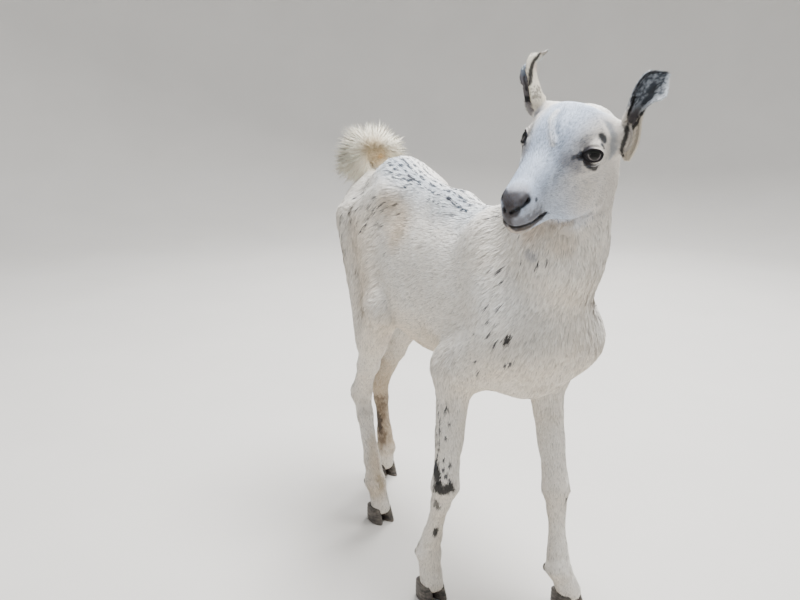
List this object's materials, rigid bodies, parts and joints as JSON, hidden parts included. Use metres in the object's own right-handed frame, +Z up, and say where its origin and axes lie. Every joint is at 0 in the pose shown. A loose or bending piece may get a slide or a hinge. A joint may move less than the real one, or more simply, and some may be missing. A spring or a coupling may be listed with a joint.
{
  "type": "goat",
  "caption": "Young short-haired goat standing with one fore and one hind leg forward, head turned to its right, ears up and tail curled over the rump.",
  "frame": {"origin": "on the floor under the middle of the bounding box", "axes": "+X forward along the trunk, +Y to the animal's left, +Z up"},
  "size_m": [0.6649, 0.2434, 0.6793],
  "materials": {
    "coat_white": "short white hair",
    "coat_cream": "long cream hair",
    "coat_dark": "thin mottled hair over dark skin",
    "hoof_horn": "dull horn",
    "eye": "wet"
  },
  "bodies": {
    "root": {"leg_front_right": "coat_white", "hoof_front_right_outer": "hoof_horn", "dewclaw_front_right_outer": "hoof_horn", "hoof_front_right_inner": "hoof_horn", "dewclaw_front_right_inner": "hoof_horn", "leg_front_left": "coat_white", "hoof_front_left_outer": "hoof_horn", "dewclaw_front_left_outer": "hoof_horn", "hoof_front_left_inner": "hoof_horn", "dewclaw_front_left_inner": "hoof_horn", "leg_hind_right": "coat_white", "hoof_hind_right_outer": "hoof_horn", "dewclaw_hind_right_outer": "hoof_horn", "hoof_hind_right_inner": "hoof_horn", "dewclaw_hind_right_inner": "hoof_horn", "leg_hind_left": "coat_white", "hoof_hind_left_outer": "hoof_horn", "dewclaw_hind_left_outer": "hoof_horn", "hoof_hind_left_inner": "hoof_horn", "dewclaw_hind_left_inner": "hoof_horn", "eye_left": "eye", "ear_left": "coat_dark", "eye_right": "eye", "ear_right": "coat_dark", "trunk": "coat_white", "neck": "coat_white", "head": "coat_white", "tail": "coat_cream"}
  },
  "joints": []
}
